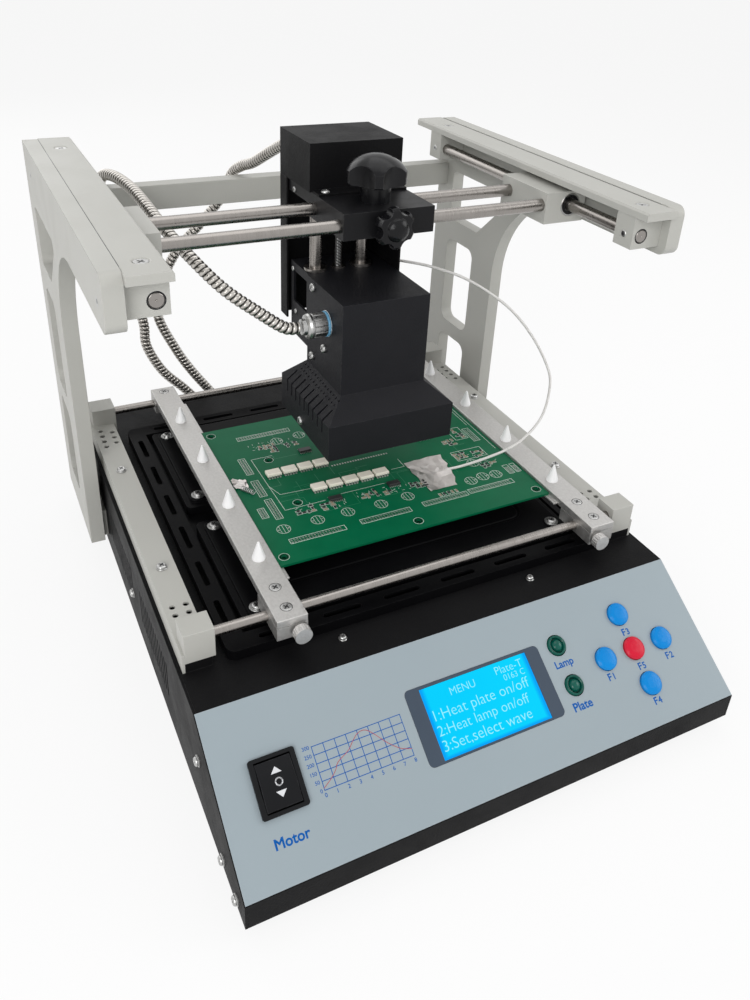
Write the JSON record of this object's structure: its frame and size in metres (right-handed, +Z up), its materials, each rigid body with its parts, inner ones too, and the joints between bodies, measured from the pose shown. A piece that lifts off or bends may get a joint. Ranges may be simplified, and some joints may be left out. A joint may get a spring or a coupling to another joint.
{
  "type": "bga rework station",
  "caption": "Bench rework station: heated base with sloping control panel, board clamp on cross rods and an infrared head on a three-way sliding gantry.",
  "frame": {"origin": "middle of the standing area, at the underside of the feet", "axes": "+X to the operator's right, +Y from the control panel to the back, +Z up"},
  "size_m": [0.337, 0.4199, 0.3116],
  "materials": {
    "powder_black": "textured",
    "powder_grey": "satin",
    "overlay": "matte",
    "slate_plastic": "gloss",
    "display": "gloss",
    "green_lens": "gloss",
    "blue_plastic": "gloss",
    "red_plastic": "gloss",
    "black_plastic": "matte",
    "white_plastic": "matte",
    "circuit_board": "satin",
    "ceramic": "matte",
    "steel": "polished",
    "bright_metal": "polished",
    "aluminium": "satin",
    "black_anodised": "satin",
    "rubber": "matte",
    "heater": "satin",
    "lamp": "gloss",
    "braid": "woven"
  },
  "bodies": {
    "station": {"base_pan": "powder_black", "base_cover": "powder_black", "side_panels": "powder_black", "feet": "rubber", "panel_overlay": "overlay", "panel_bezels": "slate_plastic", "lcd_screen": "display", "indicator_lenses": "green_lens", "circuit_boards": "circuit_board", "power_inlet": "black_plastic", "rear_glands": "bright_metal", "heater_tray": "heater", "heater_plates": "heater", "side_rails": "powder_grey", "rail_end_blocks": "powder_grey", "board_rods": "steel", "chassis_screws": "bright_metal", "side_frame_left": "powder_grey", "side_frame_right": "powder_grey", "rear_beam": "powder_grey", "guide_caps": "powder_grey", "guide_end_blocks": "powder_grey", "guide_rods": "steel", "conduit_motor": "steel", "conduit_head": "steel", "sensor_lead": "braid"},
    "rocker": {"rocker_key": "black_plastic"},
    "f1": {"button_f1": "blue_plastic"},
    "f2": {"button_f2": "blue_plastic"},
    "f3": {"button_f3": "blue_plastic"},
    "f4": {"button_f4": "blue_plastic"},
    "f5": {"button_f5": "red_plastic"},
    "left_clamp": {"clamp_bar_left": "aluminium", "clamp_sliders_left": "aluminium", "clamp_pins_left": "white_plastic"},
    "left_screw": {"thumbscrew_left": "aluminium"},
    "right_clamp": {"clamp_bar_right": "aluminium", "clamp_sliders_right": "aluminium", "clamp_pins_right": "white_plastic"},
    "right_screw": {"thumbscrew_right": "aluminium"},
    "workpiece": {"sample_board": "circuit_board", "sample_chips": "ceramic"},
    "bridge": {"bridge_blocks": "powder_grey", "bridge_bushes": "steel", "bridge_rods": "steel"},
    "carriage": {"carriage_block": "black_anodised", "motor_cover": "powder_black", "back_channel": "powder_black", "lift_rods": "steel", "lift_motor": "aluminium"},
    "screw": {"lead_screw": "steel"},
    "lock_knob": {"top_knob": "black_plastic"},
    "star": {"star_knob": "black_plastic"},
    "head": {"head_bracket": "powder_black", "lift_bushes": "steel", "head_housing": "powder_black", "lamp_reflector": "bright_metal", "ir_lamp": "lamp", "head_gland": "bright_metal"}
  },
  "joints": [
    {"name": "bridge_slide", "type": "slide", "parent": "station", "child": "bridge", "axis": [0, 1, 0], "range_m": [-0.051, 0.078], "deforming": ["conduit_motor", "conduit_head", "sensor_lead"]},
    {"name": "carriage_slide", "type": "slide", "parent": "bridge", "child": "carriage", "axis": [1, 0, 0], "range_m": [-0.1, 0.08], "deforming": ["conduit_motor", "conduit_head", "sensor_lead"]},
    {"name": "head_lift", "type": "slide", "parent": "carriage", "child": "head", "axis": [0, 0, 1], "range_m": [-0.012, 0.032], "deforming": ["conduit_head"]},
    {"name": "screw_turn", "type": "hinge", "parent": "carriage", "child": "screw", "pos_m": [0.0056, 0.0644, 0.2385], "axis": [0, 0, 1], "continuous": true},
    {"name": "lock_knob_turn", "type": "hinge", "parent": "carriage", "child": "lock_knob", "pos_m": [0.0104, 0.0239, 0.2935], "axis": [0, 0, 1], "range_deg": [-180, 180]},
    {"name": "star_turn", "type": "hinge", "parent": "carriage", "child": "star", "pos_m": [0.0104, -0.006, 0.273], "axis": [0, 1, 0], "range_deg": [-180, 180]},
    {"name": "left_clamp_slide", "type": "slide", "parent": "station", "child": "left_clamp", "axis": [1, 0, 0], "range_m": [-0.028, 0]},
    {"name": "right_clamp_slide", "type": "slide", "parent": "station", "child": "right_clamp", "axis": [1, 0, 0], "range_m": [0, 0.008]},
    {"name": "left_screw_turn", "type": "hinge", "parent": "left_clamp", "child": "left_screw", "pos_m": [-0.0901, -0.111, 0.091], "axis": [0, 1, 0], "range_deg": [-180, 180]},
    {"name": "right_screw_turn", "type": "hinge", "parent": "right_clamp", "child": "right_screw", "pos_m": [0.1125, -0.111, 0.091], "axis": [0, 1, 0], "range_deg": [-180, 180]},
    {"name": "workpiece_slide", "type": "slide", "parent": "station", "child": "workpiece", "axis": [0, -1, 0], "range_m": [0, 0.15]},
    {"name": "rocker_tilt", "type": "hinge", "parent": "station", "child": "rocker", "pos_m": [-0.124, -0.16155, 0.04805], "axis": [1, 0, 0], "range_deg": [-7, 7], "stiffness_Nm_per_rad": 0.3},
    {"name": "f1_press", "type": "slide", "parent": "station", "child": "f1", "axis": [0, 0.534, -0.8455], "range_m": [0, 0.0015], "stiffness_N_per_m": 500},
    {"name": "f2_press", "type": "slide", "parent": "station", "child": "f2", "axis": [0, 0.534, -0.8455], "range_m": [0, 0.0015], "stiffness_N_per_m": 500},
    {"name": "f3_press", "type": "slide", "parent": "station", "child": "f3", "axis": [0, 0.534, -0.8455], "range_m": [0, 0.0015], "stiffness_N_per_m": 500},
    {"name": "f4_press", "type": "slide", "parent": "station", "child": "f4", "axis": [0, 0.534, -0.8455], "range_m": [0, 0.0015], "stiffness_N_per_m": 500},
    {"name": "f5_press", "type": "slide", "parent": "station", "child": "f5", "axis": [0, 0.534, -0.8455], "range_m": [0, 0.0015], "stiffness_N_per_m": 500}
  ],
  "couplings": [
    {"joint": "screw_turn", "follows": "head_lift", "rad_per_m": 785.4}
  ]
}
